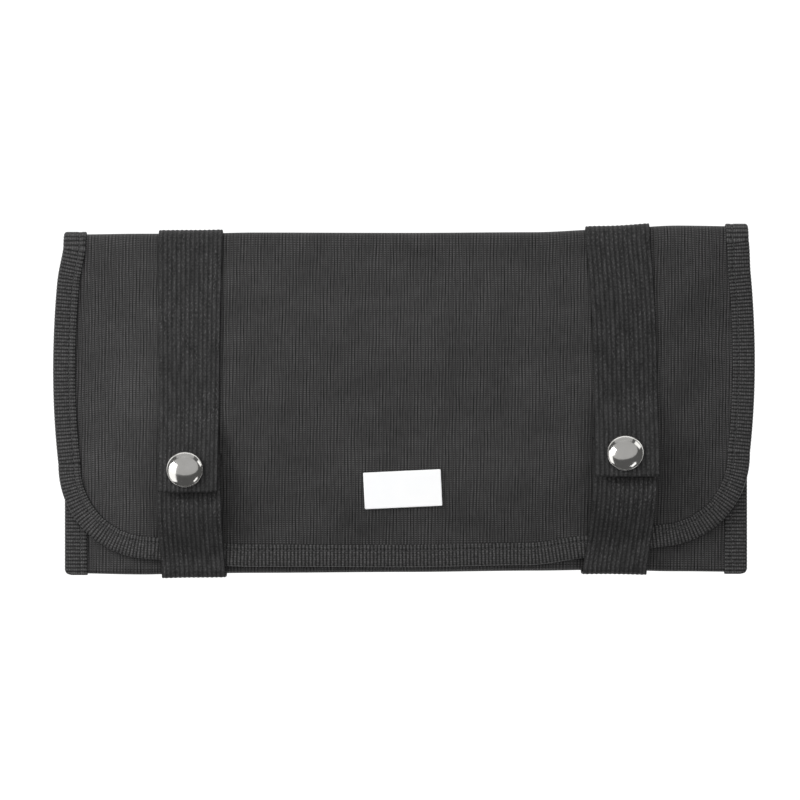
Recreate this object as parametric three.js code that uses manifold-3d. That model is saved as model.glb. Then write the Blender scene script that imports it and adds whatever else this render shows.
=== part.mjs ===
// A folded scissor pouch of black nylon, lying on its back and buttoned shut.
//
// One fabric sheet makes the whole body. It starts at the pocket's mouth, runs down the pocket's
// front, turns at the bottom fold, runs up the back, turns at the top fold and comes down again as
// the flap. A tape binds the sheet's edges, two straps go once round the pouch, and each strap is
// closed on the front by a snap fastener. A plain metal plate sits on the flap.
//
// Millimetres. +X is to the right across the pouch, +Y points from the bottom fold to the top fold,
// and +Z is up, out of the flap. The origin is under the middle, on the surface that it lies on.

import * as THREE from 'three';
import { mergeVertices } from 'three/addons/utils/BufferGeometryUtils.js';
import Module from 'manifold-3d';

const wasm = await Module();
wasm.setup();

// Sheet
const BODY_WIDTH = 274.2; // over the side bindings
const BODY_HEIGHT = 136.5; // from fold to fold
const WALL = 1.6; // outer nylon, thin foam and lining, sewn as one
const POCKET_ROOM = 8; // clear height in the middle of the pocket
const FOLD_ROOM = 3.4; // the same just inside the bottom fold
const TURN_ROOM = 8; // the same just inside the top fold, which is open at both ends
const POCKET_DEPTH = 100; // from the bottom fold up to the mouth
const FOLD_RISE = 36; // the front climbs from the bottom fold to full height over this
const TURN_FALL = 40; // the flap comes down from the top fold to the pocket over this
const SEAM_ROOM = 0.4; // between the two layers where they are sewn together at the sides
const PILLOW_POWER = 5; // how squarely the pocket swells between its side seams

// Flap
const FLAP_LENGTH = 134; // from the top fold down to its bound edge
const FLAP_BOW = 4.45; // how far each side bows out past the body
const BOW_CENTRE = 0.41; // share of the flap's length at which it is widest
const FLAP_ASIDE = -0.8; // how far the flap lies to one side of the body
const ASIDE_FALL = 0.1; // share of the flap's length over which it gets there
const CORNER_RADIUS = 37;
const LAYER_GAP = 1.5; // between the pocket's front and the flap

// Edge binding
const TAPE = 0.8; // thickness
const TAPE_WIDTH = 9; // what shows of it on each face
const SEAM_MARGIN = 1; // from the tape's inner edge to where the pocket starts to swell
const MOUTH_TAPER = 12; // over which the tape narrows from two layers to one, above the mouth

// Straps
const STRAP_WIDTH = 25.5;
const STRAP = 1.2; // thickness
const STRAP_RISE = 31; // the upper end climbs onto the snap over this length
const STRAP_TAIL = 6.6; // from the snap's centre to the upper end
const STRAP_LOWER_END = 8.5; // from the snap's centre to the hidden lower end
const SNAP_FLAT = 8.5; // the straps lie flat this far on each side of a snap's centre
const STRAP_REACH = 26; // over which the lower end climbs to the snap
const STRAP_STEP = 10; // over which it climbs onto the binding
const STRAP_TURN = 2.6; // radius at which the lower end comes over the flap's bottom edge

// Snap fastener, from the flap upwards
const RIVET_RADIUS = 5.4;
const RIVET = 0.7; // thickness of the rivet's head
const SHANK_RADIUS = 1.6;
const STUD_RADIUS = 5.6;
const STUD_FLANGE = 0.7;
const NUB_RADIUS = 3.2;
const NUB = 2.2; // height of the stud's nub above its flange
const SOCKET_RADIUS = 6.2;
const SOCKET_PLATE = 0.8;
const CAP_RADIUS = 7.15;
const CAP_RIM_RADIUS = 7.2;
const CAP_RIM = 0.8; // thickness of the rolled rim
const CAP_NECK = 1.2; // height of the neck between the rim and the dome
const CAP_TUCK = 0.9; // how far in the neck is from the dome's edge
const CAP_DOME = 2.4; // height of the dome above its neck
const SNAP_LEAN = 0.3; // slope by which a snap leans towards the top fold

// Name plate, left plain
const PLATE_WIDTH = 31;
const PLATE_HEIGHT = 14.7;
const PLATE = 0.9; // thickness
const PLATE_X = -1.3;
const PLATE_ABOVE_EDGE = 31.4; // from the flap's bottom edge to the plate's centre
const PLATE_TURN = THREE.MathUtils.degToRad(2.7);

const GAP = 0.3; // clearance between neighbouring pieces

// Where the two folds run and how much shorter the flap is than in its middle, as shares of the
// body's height, at each share of its half width.
const FOLD_LINES = [
  { across: -1.0, top: -0.006, bottom: -0.003, shorter: 0.027 },
  { across: -0.78, top: -0.0035, bottom: -0.0065, shorter: 0.026 },
  { across: -0.62, top: -0.003, bottom: -0.003, shorter: 0.008 },
  { across: -0.45, top: 0.0, bottom: -0.0015, shorter: 0.0 },
  { across: 0.0, top: -0.001, bottom: 0.0012, shorter: 0.0 },
  { across: 0.38, top: 0.001, bottom: 0.005, shorter: 0.004 },
  { across: 0.58, top: 0.009, bottom: 0.0075, shorter: 0.018 },
  { across: 0.8, top: 0.0205, bottom: 0.003, shorter: 0.038 },
  { across: 1.0, top: 0.018, bottom: 0.001, shorter: 0.038 },
];

// Soft dents in the front and flap, and swells where depth is negative. across, size_x and size_y
// are shares of the half width, and up is a share of the half height; depth is a share of the
// pocket's room.
const DENTS = [
  { across: -0.31, up: -0.58, size_x: 0.06, size_y: 0.16, depth: 0.13 },
  { across: 0.46, up: -0.82, size_x: 0.13, size_y: 0.09, depth: 0.12 },
  { across: 0.42, up: 0.86, size_x: 0.12, size_y: 0.11, depth: 0.09 },
  { across: 0.47, up: -0.45, size_x: 0.09, size_y: 0.12, depth: -0.1 },
  { across: 0.86, up: -0.22, size_x: 0.1, size_y: 0.1, depth: -0.1 },
  { across: 0.8, up: -0.72, size_x: 0.1, size_y: 0.08, depth: 0.08 },
  { across: -0.8, up: -0.1, size_x: 0.1, size_y: 0.2, depth: -0.06 },
];

// Each strap's centre line, as shares of the body's half width: at the top fold, on its upper and
// its lower end, and at the bottom fold. slim is the stretched upper end's width, as a share of the
// strap's. snap and up are the snap's place, as shares of the half width and height, and aside is
// the slope at which it leans sideways.
const STRAPS = [
  {
    side: 'left', top: -0.629, upper: -0.631, lower: -0.63, bottom: -0.618,
    slim: 0.92, snap: -0.641, up: -0.4235, aside: -0.02,
  },
  {
    side: 'right', top: 0.618, upper: 0.64, lower: 0.636, bottom: 0.606,
    slim: 1, snap: 0.636, up: -0.331, aside: 0.03,
  },
];

// How finely the surfaces are faceted
const MIDDLE_COLUMNS = 16;
const CORNER_STEPS = 6;
const FRONT_ROWS = 8;
const BACK_ROWS = 2;
const FLAP_ROWS = 12;
const TURN_STEPS = 8;
const STRAP_COLUMNS = 4;
const STRAP_ROWS = 13;
const LATHE_STEPS = 20;

// Sizes that follow
const half = BODY_WIDTH / 2 - TAPE - GAP; // the sheet's own half width
const tapeReach = TAPE_WIDTH - TAPE - GAP; // how far a tape's leg reaches in from the sheet's edge
const swellHalf = half - tapeReach - SEAM_MARGIN; // half width of what swells
const turnRadius = (TURN_ROOM + WALL) / 2; // to the middle of the wall
const backZ = STRAP + GAP + WALL / 2; // middle of the back's thickness
const flapReach = FLAP_LENGTH - TAPE - GAP; // the sheet's own length as the flap
const sideLayerGap = LAYER_GAP + TAPE + GAP + 0.1; // where two tapes lie between the layers
const lowerHeight = GAP + RIVET + GAP + STRAP / 2; // lower strap's middle above the flap, at the snap
const nubTop = STUD_FLANGE + GAP + NUB; // above the lower strap
const upperRise = nubTop + GAP + SOCKET_PLATE + GAP + STRAP;
const upperHeight = lowerHeight + upperRise; // upper strap's middle above the flap, at the snap

const nylon = new THREE.MeshStandardMaterial({ color: 0x2b2b2c, roughness: 0.7, metalness: 0 });
const tapeNylon = new THREE.MeshStandardMaterial({ color: 0x1f1f20, roughness: 0.8, metalness: 0 });
const webbing = new THREE.MeshStandardMaterial({ color: 0x222223, roughness: 0.85, metalness: 0 });
const nickel = new THREE.MeshStandardMaterial({ color: 0xd6d6d2, roughness: 0.15, metalness: 1 });
const plateMetal = new THREE.MeshStandardMaterial({ color: 0xf2f2f2, roughness: 0.3, metalness: 1 });

// 0 up to 0, 1 from 1, and an S-shaped rise with level ends in between.
function ease(share) {
  const t = Math.min(1, Math.max(0, share));
  return t * t * (3 - 2 * t);
}

function mix(a, b, share) {
  return a + (b - a) * share;
}

// A column of FOLD_LINES at x, eased from row to row.
function foldShare(x, name) {
  const across = x / half;
  const next = FOLD_LINES.findIndex((row) => row.across > across);
  if (next === 0) return FOLD_LINES[0][name];
  if (next < 0) return FOLD_LINES[FOLD_LINES.length - 1][name];
  const low = FOLD_LINES[next - 1];
  const high = FOLD_LINES[next];
  return mix(low[name], high[name], ease((across - low.across) / (high.across - low.across)));
}

const topLine = (x) => BODY_HEIGHT * (0.5 + foldShare(x, 'top'));
const bottomLine = (x) => BODY_HEIGHT * (-0.5 + foldShare(x, 'bottom'));
const shorterBy = (x) => BODY_HEIGHT * foldShare(x, 'shorter');

// How much of the full swell there is at x: 1 in the middle, 0 from the side seams outwards.
function pillow(x) {
  return Math.max(0, 1 - Math.abs(x / swellHalf) ** PILLOW_POWER);
}

// How far the dents lower the front and the flap.
function dent(x, y) {
  let depth = 0;
  for (const row of DENTS) {
    const dx = (x / half - row.across) / row.size_x;
    const dy = ((y / BODY_HEIGHT) * 2 - row.up) / row.size_y;
    depth += row.depth * Math.exp(-(dx * dx + dy * dy) / 2);
  }
  return depth * POCKET_ROOM * ease(2 * pillow(x));
}

const foldRoom = (x) => SEAM_ROOM + FOLD_ROOM * pillow(x);
const foldRadius = (x) => (foldRoom(x) + WALL) / 2; // to the middle of the wall
const foldCentre = (x) => bottomLine(x) + foldRadius(x) + WALL / 2;
const turnCentre = (x) => topLine(x) - turnRadius - WALL / 2;
const mouthLine = (x) => bottomLine(x) + POCKET_DEPTH;

// Middle of the thickness of the pocket's front.
function frontZ(x, y) {
  const full = SEAM_ROOM + POCKET_ROOM * pillow(x);
  const share = ease((y - foldCentre(x)) / FOLD_RISE);
  return backZ + WALL + mix(foldRoom(x), full, share) - dent(x, y) * share;
}

// Middle of the flap's thickness.
function flapZ(x, y) {
  const gap = mix(sideLayerGap, LAYER_GAP, ease(3 * pillow(x)));
  const onPocket = frontZ(x, y) + WALL + gap;
  const atTurn = backZ + 2 * turnRadius;
  return mix(onPocket, atTurn, ease((y - turnCentre(x)) / TURN_FALL + 1));
}

// The flap's half width at a share of its length.
function flapHalf(share) {
  const off = (share - BOW_CENTRE) / BOW_CENTRE;
  return half + FLAP_BOW * (1 - off * off);
}

// The flap's width less the body's where the top fold ends, so that the two meet there.
function bowAtTurn(x) {
  return flapHalf((topLine(x) - turnCentre(x)) / flapReach) - half;
}

// How far the flap lies to one side at a share of its length.
function flapAside(share) {
  const turn = (turnRadius + WALL / 2) / flapReach;
  return FLAP_ASIDE * ease((share - turn) / ASIDE_FALL);
}

// One station of a sheet: a point on its middle surface, heading along (alongY, alongZ).
function station(x, y, z, alongY, alongZ) {
  const normal = new THREE.Vector3(0, alongZ, -alongY).normalize();
  return { point: new THREE.Vector3(x, y, z), normal };
}

// Stations round a half turn about (centreY, centreZ), without its first and last ones.
function turnStations(x, centreY, centreZ, radius, startAngle) {
  const made = [];
  for (let i = 1; i < TURN_STEPS; i++) {
    const angle = startAngle + (Math.PI * i) / TURN_STEPS;
    const y = centreY + radius * Math.cos(angle);
    const z = centreZ + radius * Math.sin(angle);
    made.push(station(x, y, z, -Math.sin(angle), Math.cos(angle)));
  }
  return made;
}

// Stations on a surface heightAt(x, y), where x may change with y.
function surfaceStations(xAt, heightAt, fromY, toY, rows) {
  const made = [];
  const direction = Math.sign(toY - fromY);
  const reach = 0.5;
  for (let i = 0; i <= rows; i++) {
    const y = mix(fromY, toY, i / rows);
    const x = xAt(y);
    const slope = (heightAt(x, y + reach) - heightAt(x, y - reach)) / (2 * reach);
    made.push(station(x, y, heightAt(x, y), direction, direction * slope));
  }
  return made;
}

// The sheet's columns: where each one crosses the body, and the share of the flap at which it ends.
function sheetColumns() {
  const straightShare = (flapReach - CORNER_RADIUS) / flapReach;
  const cornerX = flapHalf(straightShare) - CORNER_RADIUS;
  const corner = [];
  for (let i = 0; i <= CORNER_STEPS; i++) {
    const angle = (Math.PI / 2) * (i / CORNER_STEPS);
    const end = (flapReach - CORNER_RADIUS * (1 - Math.sin(angle))) / flapReach;
    corner.push({ across: (cornerX + CORNER_RADIUS * Math.cos(angle)) / flapHalf(end), end });
  }
  const seam = swellHalf / half;
  const after = corner.findIndex((column) => column.across < seam);
  const before = corner[after - 1];
  const share = (before.across - seam) / (before.across - corner[after].across);
  corner.splice(after, 0, { across: seam, end: mix(before.end, corner[after].end, share) });
  const inner = corner[corner.length - 1].across;
  const middle = [];
  for (let i = 1; i < MIDDLE_COLUMNS; i++) {
    middle.push({ across: mix(-inner, inner, i / MIDDLE_COLUMNS), end: 1 });
  }
  const left = corner.map(({ across, end }) => ({ across: -across, end }));
  return [...left, ...middle, ...corner.reverse()];
}

// The sheet from the pocket's mouth to the flap's edge, and where in its rows the flap starts.
function makeSheet() {
  const columns = sheetColumns().map(({ across, end }) => {
    const x = across * half;
    const foldY = foldCentre(x);
    const turnY = turnCentre(x);
    const flapX = (y) => {
      const share = (topLine(x) - y) / flapReach;
      return across * (flapHalf(share) - bowAtTurn(x)) + flapAside(share);
    };
    const flapEnd = topLine(x) - flapReach * end + shorterBy(x);
    const fold = turnStations(x, foldY, backZ + foldRadius(x), foldRadius(x), Math.PI / 2);
    const turn = turnStations(x, turnY, backZ + turnRadius, turnRadius, -Math.PI / 2);
    return [
      ...surfaceStations(() => x, frontZ, mouthLine(x), foldY, FRONT_ROWS),
      ...fold,
      ...surfaceStations(() => x, () => backZ, foldY, turnY, BACK_ROWS),
      ...turn,
      ...surfaceStations(flapX, flapZ, turnY, flapEnd, FLAP_ROWS),
    ];
  });
  const flapRow = columns[0].length - FLAP_ROWS - 1;
  return { columns, flapRow, turnRow: flapRow - TURN_STEPS };
}

// A closed mesh from vertices and triangles.
function closedGeometry(points, index) {
  const positions = points.flatMap((point) => point.toArray());
  const geometry = new THREE.BufferGeometry();
  geometry.setAttribute('position', new THREE.Float32BufferAttribute(positions, 3));
  geometry.setIndex(index);
  return geometry;
}

// A sheet's stations, by column, grown to a solid of the given thickness.
function sheetGeometry(columns, thickness) {
  const rows = columns[0].length;
  const last = columns.length - 1;
  const points = [];
  for (const side of [0.5, -0.5]) {
    for (const { point, normal } of columns.flat()) {
      points.push(point.clone().addScaledVector(normal, side * thickness));
    }
  }
  const outer = (column, row) => column * rows + row;
  const inner = (column, row) => outer(column, row) + columns.length * rows;
  const index = [];
  const quad = (a, b, c, d) => index.push(a, b, c, a, c, d);
  for (let c = 0; c < last; c++) {
    for (let r = 0; r < rows - 1; r++) {
      quad(outer(c, r), outer(c, r + 1), outer(c + 1, r + 1), outer(c + 1, r));
      quad(inner(c, r), inner(c + 1, r), inner(c + 1, r + 1), inner(c, r + 1));
    }
    quad(outer(c, 0), outer(c + 1, 0), inner(c + 1, 0), inner(c, 0));
    quad(outer(c, rows - 1), inner(c, rows - 1), inner(c + 1, rows - 1), outer(c + 1, rows - 1));
  }
  for (let r = 0; r < rows - 1; r++) {
    quad(outer(0, r), inner(0, r), inner(0, r + 1), outer(0, r + 1));
    quad(outer(last, r), outer(last, r + 1), inner(last, r + 1), inner(last, r));
  }
  return closedGeometry(points, index);
}

// The solid that manifold-3d cuts and joins, from a closed geometry.
function solidOf(geometry) {
  const bare = geometry.clone();
  bare.deleteAttribute('normal');
  bare.deleteAttribute('uv');
  const merged = mergeVertices(bare, 1e-4);
  return new wasm.Manifold(
    new wasm.Mesh({
      numProp: 3,
      vertProperties: merged.getAttribute('position').array,
      triVerts: new Uint32Array(merged.getIndex().array),
    }),
  );
}

// The geometry of a solid that manifold-3d made.
function geometryOf(solid) {
  const { vertProperties, triVerts } = solid.getMesh();
  const geometry = new THREE.BufferGeometry();
  geometry.setAttribute('position', new THREE.BufferAttribute(vertProperties, 3));
  geometry.setIndex(new THREE.BufferAttribute(triVerts, 1));
  return geometry;
}

// The flap's upward unit normal at (x, y).
function flapNormal(x, y) {
  const reach = 0.5;
  const slopeX = (flapZ(x + reach, y) - flapZ(x - reach, y)) / (2 * reach);
  const slopeY = (flapZ(x, y + reach) - flapZ(x, y - reach)) / (2 * reach);
  return new THREE.Vector3(-slopeX, -slopeY, 1).normalize();
}

// How far the flap at (x, y) lies above the plane through a point of it with the given normal.
function flapCurl(point, normal, x, y) {
  const fall = (normal.x * (x - point.x) + normal.y * (y - point.y)) / normal.z;
  return flapZ(x, y) - point.z + fall;
}

// What the tape wraps up one side of the body, from the bottom fold to the top fold: both layers
// up to the mouth, then the back alone. side is 1 on the right and -1 on the left.
function bodyEdge(side) {
  const x = side * half;
  const down = new THREE.Vector3(0, 0, -1);
  const start = bottomLine(x) - GAP - TAPE / 2;
  const mouth = mouthLine(x);
  const stops = [0, 0.25, 0.5, 0.75, 1].map((share) => ({ y: mix(start, mouth, share), layers: 1 }));
  for (const share of [0.25, 0.5, 0.75, 1]) {
    stops.push({ y: mouth + GAP + MOUTH_TAPER * share, layers: 1 - ease(share) });
  }
  return stops.map(({ y, layers }) => {
    const extra = layers * (WALL + SEAM_ROOM);
    return { point: new THREE.Vector3(x, y, backZ + extra / 2), normal: down, half: (WALL + extra) / 2 };
  });
}

// Everything that the tape wraps, in order: up the body's right side, over the top fold, round
// the flap, over the top fold again and down the body's left side.
function tapePath({ columns, flapRow, turnRow }) {
  const last = columns.length - 1;
  const rows = columns[0].length;
  const stop = (c, r) => {
    const { point, normal } = columns[c][r];
    if (r < flapRow) return { point, normal, half: WALL / 2 };
    const flapUp = flapNormal(point.x, point.y);
    const curl = ({ x, y }) => flapCurl(point, flapUp, x, y);
    return { point, normal: flapUp, half: WALL / 2, curl };
  };
  const path = bodyEdge(1);
  for (let r = turnRow; r < rows; r++) path.push(stop(last, r));
  for (let c = last - 1; c > 0; c--) path.push(stop(c, rows - 1));
  for (let r = rows - 1; r >= turnRow; r--) path.push(stop(0, r));
  path.push(...bodyEdge(-1).reverse());
  return path;
}

// The tape's U-shaped section round an edge, in the plane across the path. Its legs follow what
// they lie on.
function tapeSection({ point, normal, half: wrapped, curl = () => 0 }, heading) {
  const inward = heading.clone().cross(normal).normalize();
  const up = inward.clone().cross(heading).normalize();
  const near = wrapped + GAP;
  const far = near + TAPE;
  const leg = [tapeReach / 2, tapeReach];
  const back = leg.toReversed();
  const corners = [
    ...[-GAP - TAPE, 0, ...leg].map((b) => [b, far]),
    ...[...back, -GAP].map((b) => [b, near]),
    ...[-GAP, ...leg].map((b) => [b, -near]),
    ...[...back, 0, -GAP - TAPE].map((b) => [b, -far]),
  ];
  return corners.map(([b, n]) => {
    const place = point.clone().addScaledVector(inward, b);
    place.z += curl(place);
    return place.addScaledVector(up, n);
  });
}

// The folded-in end of the tape at a bottom corner, which closes the U past the bottom fold.
function tapeEnd(side) {
  const { point, half: wrapped } = bodyEdge(side)[0];
  const geometry = new THREE.BoxGeometry(TAPE_WIDTH, TAPE, 2 * (wrapped + GAP + TAPE));
  geometry.translate(side * (BODY_WIDTH / 2 - TAPE_WIDTH / 2), point.y, point.z);
  return solidOf(geometry);
}

// The U-shaped section cut into triangles, for the tape's two ends.
function sectionTriangles() {
  const flat = tapeSection(
    { point: new THREE.Vector3(), normal: new THREE.Vector3(0, 0, 1), half: WALL },
    new THREE.Vector3(0, 1, 0),
  );
  return THREE.ShapeUtils.triangulateShape(flat.map(({ x, z }) => new THREE.Vector2(-x, z)), []);
}

function bindingGeometry(sheet) {
  const path = tapePath(sheet);
  const sections = path.map((stop, i) => {
    const before = path[Math.max(i - 1, 0)].point;
    const after = path[Math.min(i + 1, path.length - 1)].point;
    return tapeSection(stop, after.clone().sub(before).normalize());
  });
  const count = sections[0].length;
  const index = [];
  for (let s = 0; s < sections.length - 1; s++) {
    for (let k = 0; k < count; k++) {
      const a = s * count + k;
      const b = s * count + ((k + 1) % count);
      index.push(a, b, b + count, a, b + count, a + count);
    }
  }
  const end = (sections.length - 1) * count;
  for (const [a, b, c] of sectionTriangles()) {
    index.push(a, c, b, end + a, end + b, end + c);
  }
  const tape = solidOf(closedGeometry(sections.flat(), index));
  return geometryOf(tape.add(tapeEnd(1)).add(tapeEnd(-1)));
}

// Where a strap's snap stands, and the slopes of the flat that its parts stack up on. The flat
// touches the highest points of the flap under it.
function snapSeat(row) {
  const x = row.snap * (BODY_WIDTH / 2);
  const y = row.up * (BODY_HEIGHT / 2);
  const outer = (atX, atY) => flapZ(atX, atY) + WALL / 2;
  const reach = SNAP_FLAT;
  const slopeX = row.aside;
  const slopeY = (outer(x, y + reach) - outer(x, y - reach)) / (2 * reach) - SNAP_LEAN;
  let z = outer(x, y);
  for (const dx of [-STRAP_WIDTH / 2, 0, STRAP_WIDTH / 2]) {
    for (const dy of [-RIVET_RADIUS, 0, RIVET_RADIUS]) {
      z = Math.max(z, outer(x + dx, y + dy) - slopeX * dx - slopeY * dy);
    }
  }
  return { x, y, z, slopeX, slopeY, stretch: Math.hypot(1, slopeX, slopeY) };
}

// Height of the flat on which a snap's parts stack up, at (x, y).
function seatZ(seat, x, y) {
  return seat.z + seat.slopeX * (x - seat.x) + seat.slopeY * (y - seat.y);
}

// One line along a strap, offset from its centre line, as stations from its lower end, round the
// back and over the top fold, to its upper end.
function strapColumn(row, offset) {
  const seat = snapSeat(row);
  const halfWidth = BODY_WIDTH / 2;
  const topX = row.top * halfWidth + offset;
  const bottomX = row.bottom * halfWidth + offset;
  const outerY = bottomLine(bottomX) - GAP - STRAP / 2;
  const rest = (x, y) => flapZ(x, y) + WALL / 2 + GAP + STRAP / 2;
  const bound = (x) => topLine(x) - FLAP_LENGTH + shorterBy(x) + TAPE_WIDTH;
  const lowerX = (y) => {
    const share = (seat.y - y) / (seat.y - outerY);
    return mix(row.lower * halfWidth, row.bottom * halfWidth, share ** 2) + offset;
  };
  const lowerZ = (x, y) => {
    const onTape = (TAPE + GAP) * ease((bound(x) - y) / STRAP_STEP + 1);
    const onSnap = ease((y - seat.y + SNAP_FLAT) / STRAP_REACH + 1);
    return mix(rest(x, y) + onTape, seatZ(seat, x, y) + lowerHeight * seat.stretch, onSnap);
  };
  const upperX = (y) => {
    const share = Math.max(0, (y - seat.y) / (turnCentre(topX) - seat.y));
    const centre = mix(row.upper, row.top, share ** 3) * halfWidth;
    return centre + offset * mix(row.slim, 1, share);
  };
  const upperZ = (x, y) => {
    const onSnap = ease((seat.y + STRAP_RISE - y) / (STRAP_RISE - SNAP_FLAT));
    return mix(rest(x, y), seatZ(seat, x, y) + upperHeight * seat.stretch, onSnap);
  };
  const overEdge = outerY + STRAP_TURN;
  const highZ = lowerZ(lowerX(overEdge), overEdge);
  const lowRadius = foldRadius(bottomX) + WALL / 2 + GAP + STRAP / 2;
  const backX = (y) => mix(bottomX, topX, (y - outerY) / (topLine(topX) - outerY));
  const turnZ = backZ + turnRadius;
  const turnReach = turnRadius + WALL / 2 + GAP + STRAP / 2;
  return [
    ...surfaceStations(lowerX, lowerZ, seat.y + STRAP_LOWER_END, overEdge, STRAP_ROWS),
    ...quarterStations(lowerX(overEdge), overEdge, highZ - STRAP_TURN, STRAP_TURN, Math.PI / 2),
    ...quarterStations(bottomX, outerY + lowRadius, STRAP / 2 + lowRadius, lowRadius, Math.PI),
    ...surfaceStations(backX, () => STRAP / 2, outerY + lowRadius, turnCentre(topX), BACK_ROWS),
    ...turnStations(topX, turnCentre(topX), turnZ, turnReach, -Math.PI / 2),
    ...surfaceStations(upperX, upperZ, turnCentre(topX), seat.y - STRAP_TAIL, STRAP_ROWS),
  ];
}

// Stations round a quarter turn that starts at startAngle. A quarter that starts pointing up has
// its first station already, and the other has its last one.
function quarterStations(x, centreY, centreZ, radius, startAngle) {
  const steps = TURN_STEPS / 2;
  const first = startAngle < Math.PI ? 1 : 0;
  const made = [];
  for (let i = first; i < steps + first; i++) {
    const angle = startAngle + (Math.PI / 2) * (i / steps);
    const y = centreY + radius * Math.cos(angle);
    const z = centreZ + radius * Math.sin(angle);
    made.push(station(x, y, z, -Math.sin(angle), Math.cos(angle)));
  }
  return made;
}

// A strap, with a hole through each end for its snap's shanks.
function strapGeometry(row) {
  const columns = [];
  for (let i = 0; i <= STRAP_COLUMNS; i++) {
    columns.push(strapColumn(row, STRAP_WIDTH * (i / STRAP_COLUMNS - 0.5)));
  }
  const hole = new THREE.CylinderGeometry(
    SHANK_RADIUS + GAP,
    SHANK_RADIUS + GAP,
    2 * upperHeight,
    LATHE_STEPS,
  );
  hole.rotateX(Math.PI / 2);
  hole.translate(0, 0, upperHeight + GAP);
  hole.applyMatrix4(snapMatrix(row));
  return geometryOf(solidOf(sheetGeometry(columns, STRAP)).subtract(solidOf(hole)));
}

// Stands a snap's own frame on the flap: its origin is on the flap's face, and +Z is its axis.
function snapMatrix(row) {
  const seat = snapSeat(row);
  const axis = new THREE.Vector3(-seat.slopeX, -seat.slopeY, 1).normalize();
  const turn = new THREE.Quaternion().setFromUnitVectors(new THREE.Vector3(0, 0, 1), axis);
  const place = new THREE.Vector3(seat.x, seat.y, seat.z);
  return new THREE.Matrix4().compose(place, turn, new THREE.Vector3(1, 1, 1));
}

// A turned part about +Z, from [radius, height] pairs that start and end on the axis or close on
// themselves, running up the outside.
function turned(profile) {
  const points = profile.map(([radius, height]) => new THREE.Vector2(radius, height));
  const geometry = new THREE.LatheGeometry(points, LATHE_STEPS);
  geometry.rotateX(Math.PI / 2);
  return geometryOf(solidOf(geometry));
}

// The head under the lower strap and its shank up into the stud.
function rivetGeometry() {
  const head = GAP + RIVET;
  const tip = lowerHeight + STRAP / 2 + GAP + STUD_FLANGE;
  return turned([
    [0, GAP],
    [RIVET_RADIUS, GAP],
    [RIVET_RADIUS, head],
    [SHANK_RADIUS, head],
    [SHANK_RADIUS, tip],
    [0, tip],
  ]);
}

function studGeometry() {
  const base = lowerHeight + STRAP / 2 + GAP;
  const top = base + STUD_FLANGE + NUB;
  const bore = SHANK_RADIUS + GAP;
  const bulge = GAP / 2;
  return turned([
    [bore, base],
    [STUD_RADIUS, base],
    [STUD_RADIUS, base + STUD_FLANGE],
    [NUB_RADIUS - bulge, base + STUD_FLANGE],
    [NUB_RADIUS, top - NUB / 3],
    [NUB_RADIUS - bulge, top],
    [0, top],
    [0, base + STUD_FLANGE + GAP],
    [bore, base + STUD_FLANGE + GAP],
    [bore, base],
  ]);
}

function socketGeometry() {
  const flange = lowerHeight + STRAP / 2 + GAP + STUD_FLANGE;
  const base = flange + GAP;
  const ceiling = flange + NUB + GAP;
  const top = ceiling + SOCKET_PLATE;
  const bore = NUB_RADIUS + GAP;
  const shank = SHANK_RADIUS + GAP;
  return turned([
    [bore, base],
    [SOCKET_RADIUS, base],
    [SOCKET_RADIUS, top],
    [shank, top],
    [shank, ceiling],
    [bore, ceiling],
    [bore, base],
  ]);
}

function capGeometry() {
  const base = upperHeight + STRAP / 2 + GAP;
  const rimTop = base + CAP_RIM;
  const tip = base - GAP - STRAP - GAP - SOCKET_PLATE / 2;
  const profile = [
    [0, tip],
    [SHANK_RADIUS, tip],
    [SHANK_RADIUS, base],
    [CAP_RIM_RADIUS - CAP_RIM / 2, base],
    [CAP_RIM_RADIUS, base + CAP_RIM / 2],
    [CAP_RIM_RADIUS - CAP_RIM / 2, rimTop],
  ];
  profile.push([CAP_RADIUS - CAP_TUCK, rimTop]);
  const neckTop = rimTop + CAP_NECK;
  for (const angle of [0, 30, 60]) {
    const turn = THREE.MathUtils.degToRad(angle);
    profile.push([CAP_RADIUS * Math.cos(turn) ** 0.6, neckTop + CAP_DOME * Math.sin(turn)]);
  }
  profile.push([0, neckTop + CAP_DOME]);
  return turned(profile);
}

function named(name, geometry, material) {
  const mesh = new THREE.Mesh(geometry, material);
  mesh.name = name;
  return mesh;
}

function snapGroup(row) {
  const group = new THREE.Group();
  group.add(named(`snap_rivet_${row.side}`, rivetGeometry(), nickel));
  group.add(named(`snap_stud_${row.side}`, studGeometry(), nickel));
  group.add(named(`snap_socket_${row.side}`, socketGeometry(), nickel));
  group.add(named(`snap_cap_${row.side}`, capGeometry(), nickel));
  group.applyMatrix4(snapMatrix(row));
  return group;
}

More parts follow.
